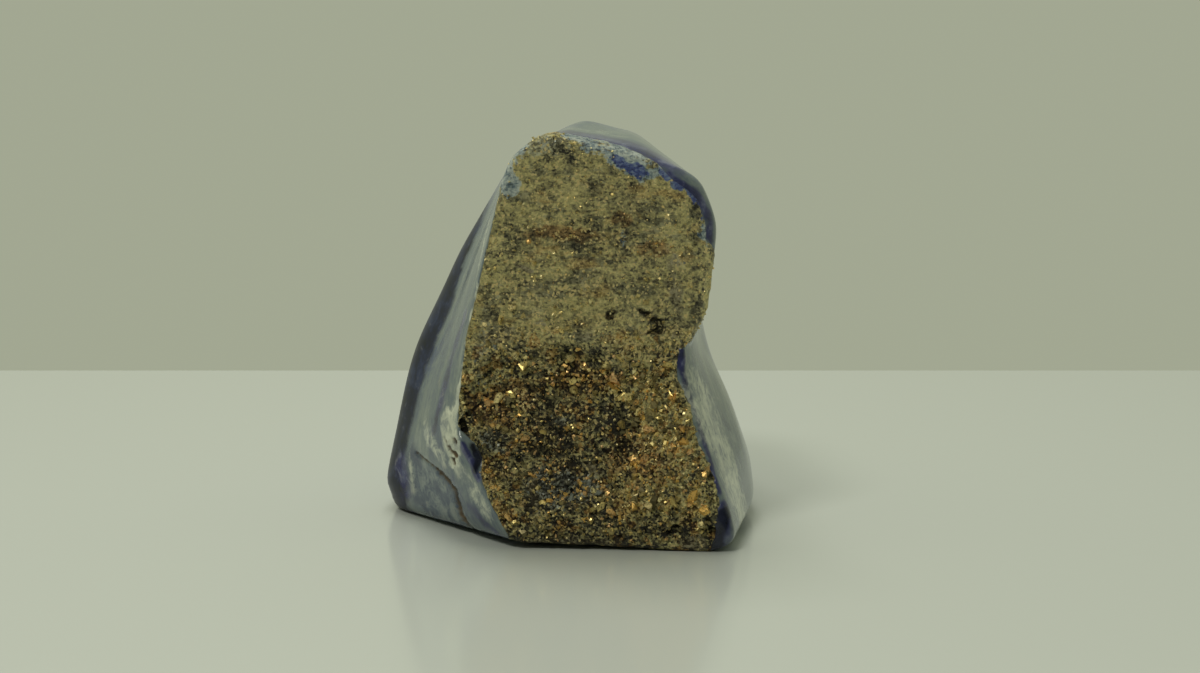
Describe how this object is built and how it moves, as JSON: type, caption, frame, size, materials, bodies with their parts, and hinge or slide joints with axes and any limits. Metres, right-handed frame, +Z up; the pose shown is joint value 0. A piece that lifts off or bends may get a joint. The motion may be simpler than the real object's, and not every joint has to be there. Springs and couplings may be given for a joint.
{
  "type": "polished mineral freeform",
  "caption": "Standing freeform of lapis lazuli: polished sides widen behind a raw pyrite-crusted end, on a flat ground base.",
  "frame": {"origin": "middle of the stone's bounding box seen from above, on the flat base", "axes": "+Z up from the base, +Y from the raw end towards the polished back along the longest side, +X to the right of a viewer who faces the raw end"},
  "size_m": [0.0666, 0.0888, 0.0702],
  "materials": {
    "lapis": "polished, with a raw pyrite-crusted end"
  },
  "bodies": {
    "root": {"lapis_freeform": "lapis"}
  },
  "joints": []
}
